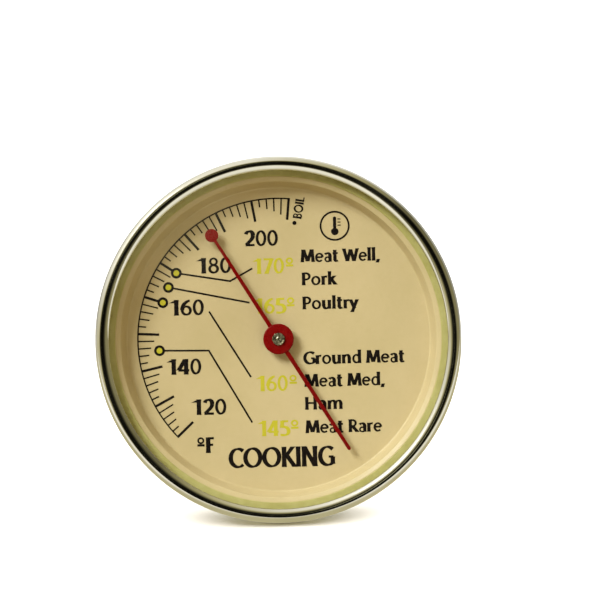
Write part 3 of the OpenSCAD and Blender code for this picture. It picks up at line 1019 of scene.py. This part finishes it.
SIDES = (0.32, 0.16, 0.95, 1.5, 0.7, 0.66, 0.7, 0.6)  # beside the reader
BACKS = (0.34, 0.75, 1.2, 0.95, 0.4, 0.16, 0.12, 0.16)  # behind the dial
FRONT = 0.004
SIDES_POLAR, BACKS_POLAR = (12, 44), (78, 112)  # where each begins, and is all there is
BACKS_TINT = Vector((0.98, 1.0, 1.0))
HAZE, HAZE_TINT = 0.8, Vector((1.0, 0.98, 0.62))  # a window that shows at the upper left
HAZE_AROUND, HAZE_OFF = 134, (12, 30)  # its middle, and where it fades on either side
HAZE_IN, HAZE_OUT = (4.8, 5.9), (6.6, 8)  # polar


def round_the_clock(levels, around):
    """The level in a direction, between those of a ring of levels."""
    at = around / math.tau * len(levels)
    first = int(at) % len(levels)
    share = at - int(at)
    return levels[first] + (levels[(first + 1) % len(levels)] - levels[first]) * share


def eased(value, start, end):
    """A smooth step from 0 at start to 1 at end."""
    t = min(max((value - start) / (end - start), 0.0), 1.0)
    return t * t * (3 - 2 * t)


def room_tone(polar, around):
    """Colour of the room; the angle round the clock is in radians here."""
    side, back = round_the_clock(SIDES, around), round_the_clock(BACKS, around)
    off = abs(math.degrees(around) - HAZE_AROUND)
    haze = HAZE * eased(polar, *HAZE_IN) * (1 - eased(polar, *HAZE_OUT)) * (1 - eased(off, *HAZE_OFF))
    front = toned(FRONT + side * eased(polar, *SIDES_POLAR)) + HAZE_TINT * haze
    return front.lerp(BACKS_TINT * back, eased(polar, *BACKS_POLAR))


def toned(level):
    """Grey of the room: olive while it is dim, nearly white when it is bright."""
    return Vector((1.0, 0.92, 0.5)).lerp(Vector((1.0, 0.99, 0.92)), eased(level, 0.4, 1.05)) * level


def joined(shape, rows):
    """Faces between rows of vertices."""
    for row, following in zip(rows, rows[1:]):
        for a, b, c, d in zip(row, row[1:], following[1:], following):
            shape.faces.new((a, b, c, d))


def make_room():
    """The room round the object: dark behind the reader, pale at the sides."""
    reach, steps, turns = 2500, 118, 72
    cap = 1  # degrees about the dial's axis that one face closes, in front and behind
    shape = bmesh.new()
    tone = shape.verts.layers.float_color.new("tone")
    rows = []
    for k in range(steps + 1):
        polar = cap + (180 - 2 * cap) * k / steps
        row = []
        for i in range(turns):
            around = math.tau * i / turns
            p = Vector((math.cos(around), math.sin(around), 0)) * math.sin(math.radians(polar))
            p.z = math.cos(math.radians(polar))
            vert = shape.verts.new(p * reach)
            vert[tone] = (*room_tone(polar, around), 1)
            row.append(vert)
        rows.append(row)
    shape.faces.new(rows[0])
    shape.faces.new(rows[-1])
    joined(shape, [row + row[:1] for row in rows])
    only_for_gloss("room", shape, PLACE)


def make_table_tone():
    """The table as gloss shows it, a painted reflection: painted shade dims it near the object, and it
    is dark where it ends in front.
    """
    rise, half = 0.0003, 3.5  # metres
    # levels along y of the painted reflection of the table; the dip near the object is painted shade
    steps = ((3.5, 0.5), (0.5, 0.9), (0.06, 0.8), (-0.04, 0.62), (-0.068, 0.62), (-0.095, 1.1),
             (-0.4, 1.2), (-0.75, 0.12), (-3.5, 0.04))
    shape = bmesh.new()
    tone = shape.verts.layers.float_color.new("tone")
    rows = []
    for y, level in steps:
        row = [shape.verts.new((x, y, rise)) for x in (-half, half)]
        for vert in row:
            vert[tone] = (*(toned(level) if y < 0 else (level, level, level)), 1)
        rows.append(row)
    joined(shape, rows)
    only_for_gloss("table_tone", shape, Matrix())


def glowing(name):
    """A material that glows in its vertices' own tones."""
    material, tree, surface = shader(name)
    tree.nodes.remove(surface)
    tint = node(tree, "ShaderNodeAttribute", {"attribute_name": "tone"})
    glow = node(tree, "ShaderNodeEmission", Color=tint.outputs["Color"])
    tree.links.new(glow.outputs[0], tree.nodes["Material Output"].inputs["Surface"])
    return material


def only_for_gloss(name, shape, place):
    """Turns a bmesh into a glowing part of the stage that only gloss shows."""
    thing = shown(name, mesh_from(name, shape, place, glowing(name)))
    for ray in ("camera", "diffuse", "shadow", "transmission"):
        setattr(thing, f"visible_{ray}", False)


def make_sky():
    """Warm light from all round; the camera sees a white wall where the floor ends."""
    world = bpy.data.worlds.new("studio")
    bpy.context.scene.world = world
    world.use_nodes = True
    tree = world.node_tree
    warm = tree.nodes["Background"]
    warm.inputs["Color"].default_value = (1.0, 0.76, 0.42, 1)
    warm.inputs["Strength"].default_value = 0.58
    white = node(tree, "ShaderNodeBackground", Color=(1, 1, 1, 1), Strength=1.2)
    path = node(tree, "ShaderNodeLightPath")
    mixed = node(tree, "ShaderNodeMixShader", _0=path.outputs["Is Camera Ray"],
                 _1=warm.outputs[0], _2=white.outputs[0])
    tree.links.new(mixed.outputs[0], tree.nodes["World Output"].inputs["Surface"])


def make_camera():
    """Nearly on the dial's axis, aimed a little right of the hub and above it."""
    aim_right, aim_up, away = 4.13, 7.42, 320.0  # from the hub, as the picture lies
    frame_w = 114.0  # width that the picture takes in at the bezel
    roll, below = math.radians(1.4), math.radians(1.3)
    data = bpy.data.cameras.new("camera")
    data.sensor_width = 36.0
    data.lens = data.sensor_width * away / frame_w
    data.clip_start, data.clip_end = 0.01, 40.0
    camera = shown("camera", data)
    back = outward * math.cos(below) - upward * math.sin(below)
    top = upward * math.cos(below) + outward * math.sin(below)
    top = top * math.cos(roll) + rightward * math.sin(roll)
    side = top.cross(back)
    turned = Matrix((side, top, back)).transposed()
    place = drawn(0, 0, bezel_high) + (side * aim_right + top * aim_up + back * away) * MM
    camera.matrix_world = Matrix.Translation(place) @ turned.to_4x4()
    bpy.context.scene.camera = camera


def make_lamps(floor):
    """Three lamps that light the object alone, and one that lights the floor alone."""
    fill = sun("fill", (430, -430, 350), 0.5, 60)
    fill.visible_glossy = False
    key = sun("key", (-545, 560, 640), 3.9, 24)
    back = sun("back", (180, 950, -70), 2.0, 42)
    linked([key, back, fill], floor, "EXCLUDE")
    linked([sun("table", (40, 960, 60), 7.5, 130)], floor, "INCLUDE")


make_camera()
floor = make_floor()
make_room()
make_table_tone()
make_sky()
make_lamps(floor)
bpy.context.scene.view_settings.view_transform = "Standard"
